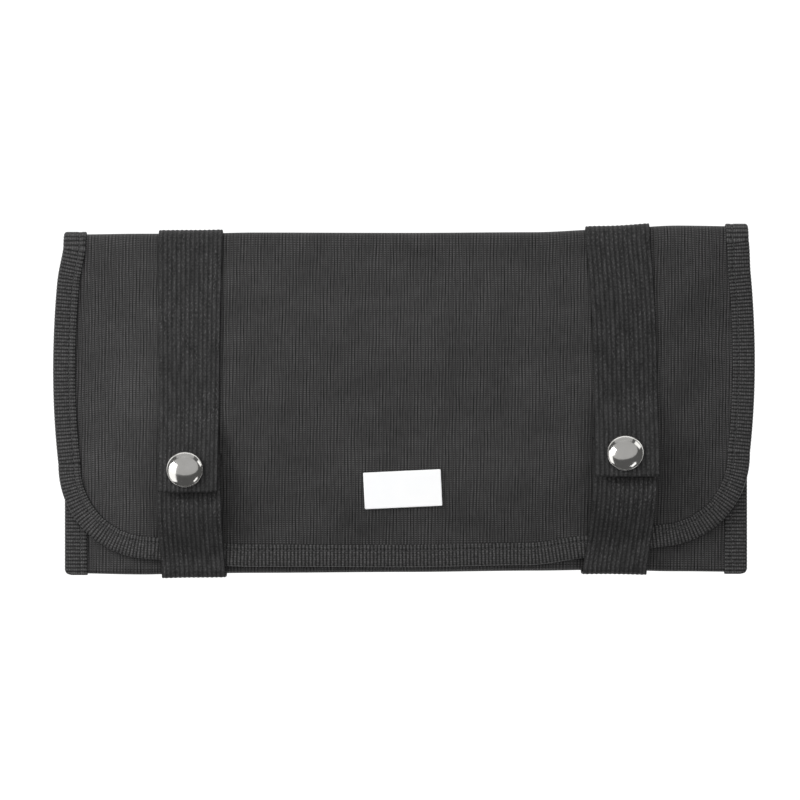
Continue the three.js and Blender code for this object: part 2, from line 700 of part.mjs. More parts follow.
// The name plate, lying on the highest points of the flap under it.
function plateMesh() {
  const y = topLine(PLATE_X) - FLAP_LENGTH + PLATE_ABOVE_EDGE;
  const reachX = PLATE_WIDTH / 2;
  const reachY = PLATE_HEIGHT / 2;
  const outer = (dx, dy) => flapZ(PLATE_X + dx, y + dy) + WALL / 2;
  const slopeX = (outer(reachX, 0) - outer(-reachX, 0)) / PLATE_WIDTH;
  const slopeY = (outer(0, reachY) - outer(0, -reachY)) / PLATE_HEIGHT;
  let seat = outer(0, 0);
  for (const dx of [-reachX, 0, reachX]) {
    for (const dy of [-reachY, 0, reachY]) {
      seat = Math.max(seat, outer(dx, dy) - slopeX * dx - slopeY * dy);
    }
  }
  const axis = new THREE.Vector3(-slopeX, -slopeY, 1).normalize();
  const geometry = new THREE.BoxGeometry(PLATE_WIDTH, PLATE_HEIGHT, PLATE);
  geometry.rotateZ(PLATE_TURN);
  geometry.translate(0, 0, GAP + PLATE / 2);
  const mesh = named('name_plate', geometry, plateMetal);
  mesh.position.set(PLATE_X, y, seat);
  mesh.quaternion.setFromUnitVectors(new THREE.Vector3(0, 0, 1), axis);
  return mesh;
}

const sheet = makeSheet();
const model = new THREE.Group();
model.add(named('shell', geometryOf(solidOf(sheetGeometry(sheet.columns, WALL))), nylon));
model.add(named('edge_binding', bindingGeometry(sheet), tapeNylon));
for (const row of STRAPS) {
  model.add(named(`strap_${row.side}`, strapGeometry(row), webbing));
  model.add(snapGroup(row));
}
model.add(plateMesh());

// The straps lie on the surface, and the model is centred over the origin.
const bounds = new THREE.Box3().setFromObject(model, true);
const middle = bounds.getCenter(new THREE.Vector3());
model.position.set(-middle.x, -middle.y, -bounds.min.z);

export default model;
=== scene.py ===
"""A folded scissor pouch of black nylon, lying on its back and buttoned shut, seen from above.

The shapes follow the solids' own sizes. Lengths are written in millimetres and become metres when
a mesh is made. +X is to the right across the pouch, +Y runs from the bottom fold to the top fold,
and +Z is up, out of the flap.
"""

import math

import bpy
import numpy as np
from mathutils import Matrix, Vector


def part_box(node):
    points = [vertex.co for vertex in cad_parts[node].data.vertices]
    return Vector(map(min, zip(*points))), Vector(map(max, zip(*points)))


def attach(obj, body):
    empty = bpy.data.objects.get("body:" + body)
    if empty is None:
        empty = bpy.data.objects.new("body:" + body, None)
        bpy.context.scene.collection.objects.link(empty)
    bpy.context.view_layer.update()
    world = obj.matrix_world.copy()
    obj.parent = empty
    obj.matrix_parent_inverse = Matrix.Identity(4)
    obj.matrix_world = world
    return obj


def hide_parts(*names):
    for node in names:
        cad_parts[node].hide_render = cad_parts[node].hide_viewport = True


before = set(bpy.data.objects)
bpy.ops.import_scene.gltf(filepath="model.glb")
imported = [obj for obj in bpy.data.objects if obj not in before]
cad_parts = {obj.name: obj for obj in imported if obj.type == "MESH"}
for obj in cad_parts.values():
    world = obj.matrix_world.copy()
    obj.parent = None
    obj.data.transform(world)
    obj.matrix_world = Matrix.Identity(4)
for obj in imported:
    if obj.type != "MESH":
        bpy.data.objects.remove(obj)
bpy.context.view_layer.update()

MM = 0.001
TAU = 2 * math.pi

# Sheet, as in the solids
BODY_WIDTH = 274.2
BODY_HEIGHT = 136.5
WALL = 1.6
POCKET_ROOM = 8.0
FOLD_ROOM = 3.4
TURN_ROOM = 8.0
POCKET_DEPTH = 100.0
FOLD_RISE = 36.0
TURN_FALL = 40.0
SEAM_ROOM = 0.4
PILLOW_POWER = 5

# Flap
FLAP_LENGTH = 134.0
FLAP_BOW = 4.45
BOW_CENTRE = 0.41
FLAP_ASIDE = -0.8
ASIDE_FALL = 0.1
CORNER_RADIUS = 37.0
LAYER_GAP = 1.5

# Edge binding
TAPE = 0.8
TAPE_WIDTH = 9.0
SEAM_MARGIN = 1.0
MOUTH_TAPER = 12.0
TAPE_BEND = 1.2  # outer radius at which the tape bends round an edge
TAPE_CORNER = 2.4  # radius of its outer corner at each of its two ends
TAPE_SLIT = 0.05  # share of its room that stays open where the two ends are pressed shut
TAPE_LIP = 0.22  # how far its sewn edge is rounded down
LIP_RUN = 0.25  # and how far in the rounding reaches
RIB_PITCH = 1.44
RIB_HEIGHT = 0.2
GROOVE_IN = 2.5  # from the tape's inner edge to its row of stitches
GROOVE_WIDTH = 0.8
GROOVE_DEPTH = 0.28
GROOVE_POINTS = (1.0, 0.5, 0.25, 0.0, -0.25, -0.5, -1.0)  # off the groove's middle
FACE_POINTS = (3.2, 1.6)  # between the groove and the bend
BEND_ANGLES = (22.5, 45, 67.5, 90)
STITCH_PITCH = 2.8
STITCH_LENGTH = 2.3
STITCH_WIDTH = 0.5
STITCH_HEIGHT = 0.4
STITCH_BLUNT = 0.6  # how bluntly a stitch ends
STITCHES_OFF = 2  # how many are left out at each end of the seam

# Straps
STRAP_WIDTH = 25.5
STRAP = 1.2
STRAP_RISE = 31.0
STRAP_TAIL = 6.6
STRAP_LOWER_END = 8.5
SNAP_FLAT = 8.5
STRAP_REACH = 26.0
STRAP_STEP = 10.0
STRAP_TURN = 2.6
STRAP_RIBS = 14
STRAP_RIB_HEIGHT = 0.16
STRAP_EDGE = 0.3  # how far its two long edges are rounded down

# Snap fastener
RIVET_RADIUS = 5.4
RIVET = 0.7
SHANK_RADIUS = 1.6
STUD_RADIUS = 5.6
STUD_FLANGE = 0.7
NUB_RADIUS = 3.2
NUB = 2.2
SOCKET_RADIUS = 6.2
SOCKET_PLATE = 0.8
CAP_RADIUS = 7.15
CAP_RIM_RADIUS = 7.2
CAP_RIM = 0.8
CAP_NECK = 1.2
CAP_TUCK = 0.9
CAP_DOME = 2.4
CAP_SQUARE = 1.6  # how squarely the dome's edge is turned
SNAP_LEAN = 0.3
METAL_ROUND = 0.25  # radius of the rivet's and socket's corners
STUD_ROUND = 0.2

# Name plate
PLATE_WIDTH = 31.0
PLATE_HEIGHT = 14.7
PLATE = 0.9
PLATE_X = -1.3
PLATE_ABOVE_EDGE = 31.4
PLATE_TURN = math.radians(2.7)
PLATE_CORNER = 0.5
PLATE_RINGS = [
    # how far inside the outline, height
    (0.12, 0.0),
    (0.0, 0.12),
    (0.0, 0.6),
    (0.06, 0.78),
    (0.2, 0.87),
    (0.42, PLATE),
]

GAP = 0.3
SIDE_GAP = 0.1  # room that the layers need besides, where both are bound

# How quickly each form fades in from the bound sides
DENT_FADE = 2
LAYER_FADE = 3
RELIEF_FADE = 2.5

# How many steps each run is cut into
CLOTH_STEPS = {"corner": 24, "middle": 132, "front": 56, "fold": 14, "back": 26, "turn": 20,
               "flap": 104}
EDGE_STEPS = {"top": 400, "side": 60, "turn": 16, "corner": 40, "bottom": 60, "rib": 4}
STRAP_STEPS = {"rib": 6, "lower": 46, "quarter": 8, "back": 60, "turn": 18, "upper": 84}
STITCH_STEPS = {"along": 7, "round": 8}
METAL_STEPS = {"round": 72, "cap": 128, "corner": 4}

SLOPE_REACH = 0.5  # a surface's slope is measured this far to each side
ON_FLAP = 0.99  # from this share on, a point of the tape's path is on the flap alone
STEEPEST = 0.3  # least upward part of a normal that the flap's fall is worked out with
ON_AXIS = 1e-6  # a smaller radius is the axis itself
CORNER_CUT = 2.2  # a corner's rounding takes at most a side's length over this

# The tables of the solids: the fold lines with the flap's shorter ends, the dents and the straps.
FOLD_LINES = np.array([
    # across, top, bottom, shorter
    (-1.0, -0.006, -0.003, 0.027),
    (-0.78, -0.0035, -0.0065, 0.026),
    (-0.62, -0.003, -0.003, 0.008),
    (-0.45, 0.0, -0.0015, 0.0),
    (0.0, -0.001, 0.0012, 0.0),
    (0.38, 0.001, 0.005, 0.004),
    (0.58, 0.009, 0.0075, 0.018),
    (0.8, 0.0205, 0.003, 0.038),
    (1.0, 0.018, 0.001, 0.038),
])

DENTS = [
    # across, up, size_x, size_y, depth
    (-0.31, -0.58, 0.06, 0.16, 0.13),
    (0.46, -0.82, 0.13, 0.09, 0.12),
    (0.42, 0.86, 0.12, 0.11, 0.09),
    (0.47, -0.45, 0.09, 0.12, -0.10),
    (0.86, -0.22, 0.10, 0.10, -0.10),
    (0.80, -0.72, 0.10, 0.08, 0.08),
    (-0.80, -0.10, 0.10, 0.20, -0.06),
]

STRAPS = [
    {"side": "left", "top": -0.629, "upper": -0.631, "lower": -0.63, "bottom": -0.618,
     "slim": 0.92, "snap": -0.641, "up": -0.4235, "aside": -0.02},
    {"side": "right", "top": 0.618, "upper": 0.64, "lower": 0.636, "bottom": 0.606,
     "slim": 1.0, "snap": 0.636, "up": -0.331, "aside": 0.03},
]

# Creases finer than the solids hold: where each is, as shares of the half width and height, its
# length and width in millimetres, the way that it runs, and how deep it is.
CREASES = [
    # across, up, length, width, degrees, depth
    (0.56, -0.36, 9.0, 1.8, 60, 0.35),
    (0.54, -0.44, 8.0, 1.6, 40, 0.30),
    (0.53, -0.30, 10.0, 2.2, 80, 0.22),
    (-0.30, -0.45, 26.0, 3.6, 86, 0.30),
    (-0.36, -0.62, 18.0, 3.0, 100, 0.22),
    (0.40, -0.70, 22.0, 4.0, 20, 0.30),
    (0.20, -0.80, 30.0, 4.0, 4, 0.22),
    (-0.05, 0.55, 46.0, 9.0, 12, 0.22),
    (0.34, 0.30, 50.0, 8.0, 72, 0.26),
    (-0.42, 0.20, 40.0, 7.0, 95, 0.20),
    (0.80, 0.45, 26.0, 5.0, 110, 0.22),
    (-0.84, 0.55, 24.0, 4.5, 80, 0.20),
    (0.88, -0.55, 16.0, 3.0, 40, 0.26),
    (-0.83, -0.60, 16.0, 3.0, 130, 0.24),
]

# Soft waves of the sheet: the radians that each turns through over a quarter of the width and of
# the height, where it starts, and its height.
WAVES = [
    # across, up, start, height
    (3.1, 1.7, 0.4, 0.10),
    (5.3, -2.3, 1.9, 0.07),
    (8.7, 3.1, 3.3, 0.05),
    (2.2, 4.6, 5.0, 0.06),
]

half = BODY_WIDTH / 2 - TAPE - GAP
tape_reach = TAPE_WIDTH - TAPE - GAP
swell_half = half - tape_reach - SEAM_MARGIN
turn_radius = (TURN_ROOM + WALL) / 2
back_z = STRAP + GAP + WALL / 2
flap_reach = FLAP_LENGTH - TAPE - GAP
side_layer_gap = LAYER_GAP + TAPE + GAP + SIDE_GAP
lower_height = GAP + RIVET + GAP + STRAP / 2
nub_top = STUD_FLANGE + GAP + NUB
upper_rise = nub_top + GAP + SOCKET_PLATE + GAP + STRAP
upper_height = lower_height + upper_rise
stud_base = lower_height + STRAP / 2 + GAP
stud_tip = stud_base + STUD_FLANGE
shank_bore = SHANK_RADIUS + GAP
cap_base = upper_height + STRAP / 2 + GAP


# The pouch's shape

def ease(share):
    t = np.clip(share, 0.0, 1.0)
    return t * t * (3 - 2 * t)


def mix(a, b, share):
    return a + (b - a) * share


def fold_share(x, column):
    """A column of FOLD_LINES at x, eased from row to row."""
    lines, values = FOLD_LINES[:, 0], FOLD_LINES[:, column]
    across = np.asarray(x) / half
    low = np.clip(np.searchsorted(lines, across, side="right") - 1, 0, len(lines) - 2)
    return mix(values[low], values[low + 1], ease((across - lines[low]) / (lines[low + 1] - lines[low])))


def top_line(x):
    return BODY_HEIGHT * (0.5 + fold_share(x, 1))


def bottom_line(x):
    return BODY_HEIGHT * (-0.5 + fold_share(x, 2))


def shorter_by(x):
    """How much shorter the flap is at x than in its middle."""
    return BODY_HEIGHT * fold_share(x, 3)


def pillow(x):
    return np.maximum(0.0, 1 - np.abs(x / swell_half) ** PILLOW_POWER)


def dent(x, y):
    depth = 0.0
    for across, up, size_x, size_y, share in DENTS:
        dx = (x / half - across) / size_x
        dy = (2 * y / BODY_HEIGHT - up) / size_y
        depth = depth + share * np.exp(-(dx * dx + dy * dy) / 2)
    return depth * POCKET_ROOM * ease(DENT_FADE * pillow(x))


def fine_relief(x, y):
    """Creases and soft waves, which fade out at the bound edges."""
    height = 0.0
    for across, up, length, width, degrees, depth in CREASES:
        turn = math.radians(degrees)
        dx = x - across * half
        dy = y - up * BODY_HEIGHT / 2
        along = (dx * math.cos(turn) + dy * math.sin(turn)) / length
        aside = (dy * math.cos(turn) - dx * math.sin(turn)) / width
        height = height - depth * np.exp(-(along**2) - aside**2)
    for across, up, start, rise in WAVES:
        height = height + rise * np.sin(across * x / half * 2 + up * y / BODY_HEIGHT * 4 + start)
    return height * ease(RELIEF_FADE * pillow(x))


def fold_room(x):
    return SEAM_ROOM + FOLD_ROOM * pillow(x)


def fold_radius(x):
    return (fold_room(x) + WALL) / 2


def fold_centre(x):
    return bottom_line(x) + fold_radius(x) + WALL / 2


def turn_centre(x):
    return top_line(x) - turn_radius - WALL / 2


def mouth_line(x):
    return bottom_line(x) + POCKET_DEPTH


def front_z(x, y):
    full = SEAM_ROOM + POCKET_ROOM * pillow(x)
    share = ease((y - fold_centre(x)) / FOLD_RISE)
    relief = fine_relief(x, y) - dent(x, y)
    return back_z + WALL + mix(fold_room(x), full, share) + relief * share


def flap_z(x, y):
    gap = mix(side_layer_gap, LAYER_GAP, ease(LAYER_FADE * pillow(x)))
    on_pocket = front_z(x, y) + WALL + gap
    at_turn = back_z + 2 * turn_radius
    return mix(on_pocket, at_turn, ease((y - turn_centre(x)) / TURN_FALL + 1))


def slope_y(height, x, y):
    rise = height(x, y + SLOPE_REACH) - height(x, y - SLOPE_REACH)
    return rise / (2 * SLOPE_REACH)


def flap_normal(x, y):
    rise = flap_z(x + SLOPE_REACH, y) - flap_z(x - SLOPE_REACH, y)
    slope_x = rise / (2 * SLOPE_REACH)
    return unit(np.stack([-slope_x, -slope_y(flap_z, x, y), np.ones_like(slope_x)], -1))


def flap_half(share):
    off = (share - BOW_CENTRE) / BOW_CENTRE
    return half + FLAP_BOW * (1 - off * off)


def flap_aside(share):
    turn = (turn_radius + WALL / 2) / flap_reach
    return FLAP_ASIDE * ease((share - turn) / ASIDE_FALL)


def bow_at_turn(x):
    return flap_half((top_line(x) - turn_centre(x)) / flap_reach) - half


def unit(vectors):
    return vectors / np.linalg.norm(vectors, axis=-1, keepdims=True)


# From the body's own middle to the frame's, which is under the middle of the whole pouch
shell_low, shell_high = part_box("shell")
middle_shift = np.array([
    (shell_low[0] + shell_high[0]) / 2 / MM - FLAP_ASIDE,
    shell_high[1] / MM - float(np.max(top_line(np.linspace(-half, half, EDGE_STEPS["top"])))),
    0.0,
])


# Meshes

def add_mesh(name, points, faces, uv):
    """A smooth mesh from millimetre points, with uv in millimetres at each point."""
    mesh = bpy.data.meshes.new(name)
    mesh.from_pydata(((np.asarray(points) + middle_shift) * MM).tolist(), [], faces)
    mesh.polygons.foreach_set("use_smooth", np.ones(len(mesh.polygons), bool))
    corners = np.empty(len(mesh.loops), np.int32)
    mesh.loops.foreach_get("vertex_index", corners)
    layer = mesh.uv_layers.new(name="cloth")
    layer.uv.foreach_set("vector", np.asarray(uv, np.float32)[corners].ravel())
    mesh.update()
    made = bpy.data.objects.new(name, mesh)
    bpy.context.collection.objects.link(made)
    return made


def grid_faces(rows, columns, start=0, flip=False):
    """Quads between the points of a grid that are stored row after row."""
    r, c = np.meshgrid(np.arange(rows - 1), np.arange(columns - 1), indexing="ij")
    a = start + (r * columns + c).ravel()
    quads = np.stack([a, a + 1, a + columns + 1, a + columns], -1)
    return (quads[:, ::-1] if flip else quads).tolist()


def sheet_mesh(name, middle, normal, thickness, uv):
    """A sheet grown round its middle surface, with a rounded rim."""
    rows, columns = middle.shape[:2]
    count = rows * columns
    outer = (middle + normal * thickness / 2).reshape(-1, 3)
    inner = (middle - normal * thickness / 2).reshape(-1, 3)
    faces = grid_faces(rows, columns) + grid_faces(rows, columns, count, flip=True)
    ring = list(range(columns))
    ring += [r * columns + columns - 1 for r in range(1, rows)]
    ring += [(rows - 1) * columns + c for c in range(columns - 2, -1, -1)]
    ring += [r * columns for r in range(rows - 2, 0, -1)]
    for a, b in zip(ring, ring[1:] + ring[:1]):
        faces.append([b, a, a + count, b + count])
    both = np.concatenate([uv.reshape(-1, 2)] * 2)
    return add_mesh(name, np.concatenate([outer, inner]), faces, both)


def tube_faces(rings, count):
    """Quads between rings of so many points each, and then the two ends."""
    r, c = np.meshgrid(np.arange(rings - 1), np.arange(count), indexing="ij")
    a = (r * count + c).ravel()
    b = (r * count + (c + 1) % count).ravel()
    faces = np.stack([a, b, b + count, a + count], -1).tolist()
    faces.append(list(range(count))[::-1])
    faces.append(list(range((rings - 1) * count, rings * count)))
    return faces


def tube_mesh(name, points, faces, uv):
    """A mesh of tube_faces with its two ends flat."""
    made = add_mesh(name, points, faces, uv)
    for end in made.data.polygons[-2:]:
        end.use_smooth = False
    return made


def swept_mesh(name, sections, uv):
    """A closed section carried along a path."""
    faces = tube_faces(*sections.shape[:2])
    return tube_mesh(name, sections.reshape(-1, 3), faces, uv.reshape(-1, 2))


# Cloth

def column_shares(corner_steps, middle_steps):
    """Where the sheet's columns cross the body, and the share of the flap at which each ends."""
    straight = (flap_reach - CORNER_RADIUS) / flap_reach
    corner_x = flap_half(straight) - CORNER_RADIUS
    angle = np.linspace(0, math.pi / 2, corner_steps + 1)
    end = (flap_reach - CORNER_RADIUS * (1 - np.sin(angle))) / flap_reach
    across = (corner_x + CORNER_RADIUS * np.cos(angle)) / flap_half(end)
    inner = across[-1]
    middle = np.linspace(-inner, inner, middle_steps + 1)[1:-1]
    every = np.concatenate([-across, middle, across[::-1]])
    ends = np.concatenate([end, np.ones(len(middle)), end[::-1]])
    return every, ends


def flap_xy(across, share):
    """The flap's place at a share of the half width and of the length."""
    column_x = across * half
    x = across * (flap_half(share) - bow_at_turn(column_x)) + flap_aside(share)
    return x, top_line(column_x) - flap_reach * share


def half_turn(x, centre_y, centre_z, radius, start, steps):
    angle = start + np.linspace(0, math.pi, steps + 1)[1:-1] + 0 * x
    y = centre_y + radius * np.cos(angle)
    z = centre_z + radius * np.sin(angle)
    normal = np.stack([0 * angle, np.cos(angle), np.sin(angle)], -1)
    return np.stack([x + 0 * angle, y, z], -1), normal


def surface_run(x, y, height, facing):
    """Points on a surface, and the way that its outer side faces: 1 is up and -1 is down."""
    z = height(x, y)
    slope = slope_y(height, x, y)
    normal = unit(np.stack([0 * slope, -facing * slope, facing + 0 * slope], -1))
    return np.stack([x + 0 * z, y + 0 * z, z], -1), normal


def make_cloth():
    across, ends = column_shares(CLOTH_STEPS["corner"], CLOTH_STEPS["middle"])
    x = across[:, None] * half
    fold_y = fold_centre(x)
    turn_y = turn_centre(x)
    down = np.linspace(0, 1, CLOTH_STEPS["front"])
    front = surface_run(x, mix(mouth_line(x), fold_y, down), front_z, 1)
    fold = half_turn(x, fold_y, back_z + fold_radius(x), fold_radius(x), math.pi / 2,
                     CLOTH_STEPS["fold"])
    back_y = mix(fold_y, turn_y, np.linspace(0, 1, CLOTH_STEPS["back"]))
    back = surface_run(x, back_y, lambda a, b: back_z + 0 * a * b, -1)
    turn = half_turn(x, turn_y, back_z + turn_radius, turn_radius, -math.pi / 2,
                     CLOTH_STEPS["turn"])
    start = (top_line(x) - turn_y) / flap_reach
    end = ends[:, None] - shorter_by(x) / flap_reach
    share = mix(start, end, np.linspace(0, 1, CLOTH_STEPS["flap"]))
    flap_x, flap_y = flap_xy(across[:, None], share)
    flap = surface_run(flap_x, flap_y, flap_z, 1)
    runs = [front, fold, back, turn, flap]
    middle = np.concatenate([run[0] for run in runs], 1)
    normal = np.concatenate([run[1] for run in runs], 1)
    step = np.linalg.norm(np.diff(middle, axis=1), axis=-1)
    along = np.concatenate([np.zeros((len(x), 1)), np.cumsum(step, 1)], 1)
    uv = np.stack([middle[..., 0], along - POCKET_DEPTH], -1)
    return sheet_mesh("pouch_cloth", middle, normal, WALL, uv), along


# Binding

def body_edge_path(side):
    x = side * half
    start = float(bottom_line(x)) - GAP - TAPE / 2
    mouth = float(mouth_line(x))
    y = np.linspace(start, mouth + GAP + MOUTH_TAPER, EDGE_STEPS["side"])
    extra = (1 - ease((y - mouth - GAP) / MOUTH_TAPER)) * (WALL + SEAM_ROOM)
    point = np.stack([np.full_like(y, x), y, back_z + extra / 2], -1)
    normal = np.tile([0.0, 0.0, -1.0], (len(y), 1))
    return point, normal, (WALL + extra) / 2, np.zeros_like(y)


def turn_path(side):
    x = np.array([side * half])
    point, normal = half_turn(x, turn_centre(x), back_z + turn_radius, turn_radius, -math.pi / 2,
                              EDGE_STEPS["turn"])
    return point, normal, np.full(len(point), WALL / 2), np.zeros(len(point))


def flap_edge_path():
    """Down the flap's right side, round its bottom and up its left side."""
    across, ends = column_shares(EDGE_STEPS["corner"], EDGE_STEPS["bottom"])
    first = float((top_line(half) - turn_centre(half)) / flap_reach)
    ends = ends - shorter_by(across * half) / flap_reach
    right = np.linspace(first, ends[-1], EDGE_STEPS["side"])[:-1]
    left = np.linspace(ends[0], first, EDGE_STEPS["side"])[1:]
    across = np.concatenate([np.ones(len(right)), across[::-1], -np.ones(len(left))])
    share = np.concatenate([right, ends[::-1], left])
    x, y = flap_xy(across, share)
    point = np.stack([x, y, flap_z(x, y)], -1)
    return point, flap_normal(x, y), np.full(len(x), WALL / 2), np.ones(len(x))


def tape_path(spacing):
    """The edges that the tape wraps, as evenly spaced points with what each needs."""
    up_right = [body_edge_path(1), turn_path(1)]
    down_left = [tuple(part[::-1] for part in run) for run in (turn_path(-1), body_edge_path(-1))]
    runs = [*up_right, flap_edge_path(), *down_left]
    point, normal, wrapped, on_flap = (np.concatenate(parts) for parts in zip(*runs))
    step = np.linalg.norm(np.diff(point, axis=0), axis=1)
    along = np.concatenate([[0], np.cumsum(step)])
    even = np.arange(0, along[-1], spacing)

    def at(values):
        flat = values.reshape(len(values), -1)
        made = np.stack([np.interp(even, along, column) for column in flat.T], -1)
        return made.reshape(len(even), *values.shape[1:])

    point = at(point)
    normal = unit(at(normal))
    heading = unit(np.gradient(point, axis=0))
    inward = unit(np.cross(heading, normal))
    up = unit(np.cross(inward, heading))
    return {
        "point": point, "normal": normal, "heading": heading, "inward": inward, "up": up,
        "wrapped": at(wrapped), "on_flap": at(on_flap), "along": even,
    }


def on_edge(path, b, n):
    """Places b in from the wrapped edge and n off its middle, following the flap."""
    place = path["point"] + path["inward"] * b
    off = place[:, :2] - path["point"][:, :2]
    normal = path["normal"]
    fall = (normal[:, 0] * off[:, 0] + normal[:, 1] * off[:, 1]) / np.maximum(normal[:, 2], STEEPEST)
    curl = flap_z(place[:, 0], place[:, 1]) - path["point"][:, 2] + fall
    place[:, 2] += np.where(path["on_flap"] > ON_FLAP, curl, 0.0)
    return place + path["up"] * np.asarray(n)[..., None]


def groove(b):
    return GROOVE_DEPTH * math.exp(-(((b - tape_reach + GROOVE_IN) / (GROOVE_WIDTH / 2)) ** 2))


def tape_outline():
    """The outside of the tape's section: places across it, and which way each faces."""
    edge = -GAP - TAPE
    flat = [tape_reach, tape_reach - LIP_RUN]
    flat += [tape_reach - GROOVE_IN + off for off in GROOVE_POINTS]
    flat += [*FACE_POINTS, edge + TAPE_BEND]
    bend = [math.radians(a) for a in BEND_ANGLES]
    return flat, bend, edge


def make_binding():
    path = tape_path(RIB_PITCH / EDGE_STEPS["rib"])
    rib = RIB_HEIGHT * (0.5 + 0.5 * np.cos(TAU * path["along"] / RIB_PITCH))
    far = path["wrapped"] + GAP + TAPE
    flat, bend, edge = tape_outline()
    from_end = np.minimum(path["along"], path["along"][-1] - path["along"])
    near = (path["wrapped"] + GAP) * np.maximum(ease(from_end / TAPE), TAPE_SLIT)
    short = np.clip(TAPE_CORNER - from_end, 0, TAPE_CORNER)
    corner = edge + TAPE_CORNER - np.sqrt(TAPE_CORNER**2 - short**2)
    columns = []
    reach = []
    for side in (1, -1):
        leg = []
        for b in flat:
            lip = TAPE_LIP if b == flat[0] else 0.0
            inside = np.maximum(b, corner + TAPE_BEND)[:, None]
            leg.append((b, on_edge(path, inside, side * (far - rib - lip - groove(b)))))
        for angle in bend:
            b = corner + TAPE_BEND * (1 - math.sin(angle)) + 0.5 * rib * math.sin(angle)
            n = far - TAPE_BEND * (1 - math.cos(angle)) - rib * math.cos(angle)
            leg.append((edge - angle, on_edge_bent(path, b[:, None], side * n)))
        leg = leg if side == 1 else leg[::-1]
        columns += [place for _, place in leg]
        reach += [b for b, _ in leg]
    for b, n in ((tape_reach, -1), (-GAP, -1), (-GAP, 1), (tape_reach, 1)):
        inside = np.maximum(b, corner + TAPE + GAP)[:, None] if b < 0 else b
        columns.append(on_edge(path, inside, n * near))
        reach.append(b)
    sections = np.stack(columns, 1)[:, ::-1]
    reach = np.array(reach[::-1])
    u = np.repeat(path["along"][:, None], len(reach), 1)
    v = np.repeat(reach[None, :], len(path["along"]), 0)
    return swept_mesh("binding_tape", sections, np.stack([u, v], -1)), path


def on_edge_bent(path, b, n):
    """on_edge for the bend round the edge, where the flap's own curl doesn't count."""
    place = path["point"] + path["inward"] * b
    return place + path["up"] * np.asarray(n)[:, None]


def capsule():
    """A stitch of unit length, width and height, as points and faces."""
    rings, sides = STITCH_STEPS["along"], STITCH_STEPS["round"]
    points = []
    for i in range(rings):
        lean = math.pi * (i + 0.5) / rings
        x = -math.cos(lean) / 2
        r = math.sin(lean) ** STITCH_BLUNT / 2
        for k in range(sides):
            turn = TAU * k / sides
            points.append((x, r * math.cos(turn), r * math.sin(turn)))
    return np.array(points), tube_faces(rings, sides)


def make_stitches():
    """The thread of the binding's seam, on both of its faces."""
    path = tape_path(STITCH_PITCH)
    shape, quads = capsule()
    b = tape_reach - GROOVE_IN
    points, faces, uv = [], [], []
    for side in (1, -1):
        height = path["wrapped"] + GAP + TAPE - GROOVE_DEPTH
        seat = on_edge(path, b, side * height)
        for i in range(STITCHES_OFF, len(seat) - STITCHES_OFF):
            start = sum(len(p) for p in points)
            local = shape * [STITCH_LENGTH, STITCH_WIDTH, STITCH_HEIGHT]
            place = seat[i] + local @ np.stack([path["heading"][i], path["inward"][i], path["up"][i]])
            points.append(place)
            uv.append(shape[:, :2] * STITCH_LENGTH + path["along"][i])
            faces += [[start + k for k in face] for face in quads]
    return add_mesh("binding_stitches", np.concatenate(points), faces, np.concatenate(uv))


# Straps

def snap_seat(row):
    """The plane that a snap stands on, over the highest points of the flap under it."""
    x = row["snap"] * BODY_WIDTH / 2
    y = row["up"] * BODY_HEIGHT / 2

    def outer(at_x, at_y):
        return float(flap_z(np.array(at_x), np.array(at_y))) + WALL / 2

    sx = row["aside"]
    sy = (outer(x, y + SNAP_FLAT) - outer(x, y - SNAP_FLAT)) / (2 * SNAP_FLAT) - SNAP_LEAN
    z = max(outer(x + dx, y + dy) - sx * dx - sy * dy
            for dx in (-STRAP_WIDTH / 2, 0, STRAP_WIDTH / 2)
            for dy in (-RIVET_RADIUS, 0, RIVET_RADIUS))
    return {"x": x, "y": y, "z": z, "sx": sx, "sy": sy, "stretch": math.hypot(1, sx, sy)}


def seat_z(seat, x, y):
    return seat["z"] + seat["sx"] * (x - seat["x"]) + seat["sy"] * (y - seat["y"])


def quarter_turn(x, centre_y, centre_z, radius, start, skip_first):
    steps = STRAP_STEPS["quarter"]
    share = np.arange(1, steps + 1) if skip_first else np.arange(0, steps)
    angle = start + (math.pi / 2) * share / steps + 0 * x
    normal = np.stack([0 * angle, np.cos(angle), np.sin(angle)], -1)
    y = centre_y + radius * np.cos(angle)
    z = centre_z + radius * np.sin(angle)
    return np.stack([x + 0 * angle, y, z], -1), normal


def strap_run(x_at, height, from_y, to_y, rows):
    y = mix(from_y, to_y, np.linspace(0, 1, rows))
    return surface_run(x_at(y), y, height, 1)


